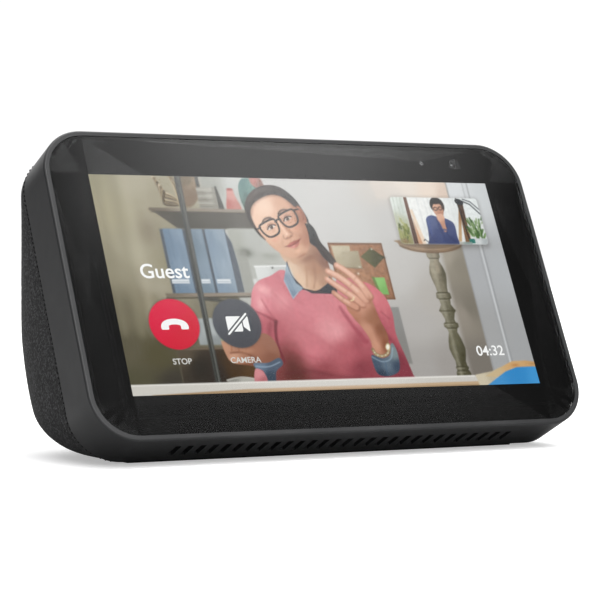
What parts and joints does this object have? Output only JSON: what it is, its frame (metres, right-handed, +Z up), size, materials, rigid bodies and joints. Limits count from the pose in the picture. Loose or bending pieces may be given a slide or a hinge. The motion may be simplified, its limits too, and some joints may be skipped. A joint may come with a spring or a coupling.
{
  "type": "smart display",
  "caption": "Small tabletop smart display: a leaning touch screen in a rounded plastic band, a fabric-covered rear body with a loudspeaker, top buttons and a camera shutter.",
  "frame": {"origin": "middle of the footprint, on the surface that the display stands on", "axes": "+X to the right seen from the front, +Y to the back, +Z up"},
  "size_m": [0.148, 0.0727, 0.0842],
  "materials": {
    "band_plastic": "fine matte charcoal plastic",
    "cover_glass": "clear polished cover glass",
    "mask_ink": "black print behind the glass",
    "display_film": "polariser film",
    "tray_white": "white backlight tray",
    "foam_black": "closed-cell foam",
    "inner_plastic": "black moulded plastic",
    "aluminium_plate": "rolled aluminium",
    "steel_part": "tinned or zinc-plated steel",
    "circuit_board": "green solder mask",
    "chip_black": "moulded chip package",
    "copper_flex": "polyimide flex",
    "lens_glass": "coated lens",
    "clear_plastic": "clear light guide",
    "knit_fabric": "charcoal knit",
    "foot_rubber": "soft black rubber",
    "ferrite": "sintered ferrite",
    "paper_cone": "coated paper",
    "wire_sheath": "insulated wire",
    "brass_contact": "gold-flashed metal"
  },
  "bodies": {
    "housing": {"front_band": "band_plastic", "cover_glass": "cover_glass", "glass_mask": "mask_ink", "touch_sensor": "display_film", "lcd_panel": "display_film", "backlight": "tray_white", "display_gasket": "foam_black", "mid_frame": "inner_plastic", "heat_spreader": "aluminium_plate", "thermal_pad": "foam_black", "main_board": "circuit_board", "processor": "chip_black", "shield_cans": "steel_part", "board_connectors": "tray_white", "wifi_antennas": "brass_contact", "display_flex": "copper_flex", "camera_board": "circuit_board", "camera_housing": "chip_black", "camera_lens": "lens_glass", "light_sensor": "tray_white", "light_pipe": "clear_plastic", "button_board": "circuit_board", "button_switches": "steel_part", "microphones": "brass_contact", "mic_boots": "foot_rubber", "rear_shell": "inner_plastic", "fabric_cover": "knit_fabric", "base_plate": "inner_plastic", "rubber_foot": "foot_rubber", "speaker_basket": "steel_part", "speaker_magnet": "ferrite", "speaker_top_plate": "steel_part", "speaker_yoke": "steel_part", "speaker_surround": "foot_rubber", "speaker_spider": "copper_flex", "speaker_gasket": "foam_black", "speaker_box": "inner_plastic", "speaker_wires": "wire_sheath", "port_plate": "inner_plastic", "port_board": "circuit_board", "port_wires": "wire_sheath", "power_jack": "chip_black", "jack_pin": "brass_contact", "usb_socket": "steel_part", "usb_tongue": "chip_black", "frame_screws": "steel_part", "shell_screws": "steel_part", "board_screws": "steel_part", "base_screws": "steel_part", "speaker_screws": "steel_part"},
    "mic_key": {"mic_button": "band_plastic"},
    "volume_down_key": {"volume_down_button": "band_plastic"},
    "volume_up_key": {"volume_up_button": "band_plastic"},
    "shutter": {"camera_shutter": "band_plastic"},
    "diaphragm": {"speaker_cone": "paper_cone", "voice_coil": "brass_contact"}
  },
  "joints": [
    {"name": "mic_press", "type": "slide", "parent": "housing", "child": "mic_key", "axis": [0, -0.4305, -0.9026], "range_m": [0, 0.0005], "stiffness_N_per_m": 3000, "springref_m": -0.0003},
    {"name": "volume_down_press", "type": "slide", "parent": "housing", "child": "volume_down_key", "axis": [0, -0.4305, -0.9026], "range_m": [0, 0.0005], "stiffness_N_per_m": 3000, "springref_m": -0.0003},
    {"name": "volume_up_press", "type": "slide", "parent": "housing", "child": "volume_up_key", "axis": [0, -0.4305, -0.9026], "range_m": [0, 0.0005], "stiffness_N_per_m": 3000, "springref_m": -0.0003},
    {"name": "shutter_slide", "type": "slide", "parent": "housing", "child": "shutter", "axis": [-1, 0, 0], "range_m": [0, 0.0065]},
    {"name": "cone_travel", "type": "slide", "parent": "housing", "child": "diaphragm", "axis": [0, 1, 0], "range_m": [-0.0008, 0.0008], "stiffness_N_per_m": 1500, "deforming": ["speaker_surround", "speaker_spider"]}
  ]
}
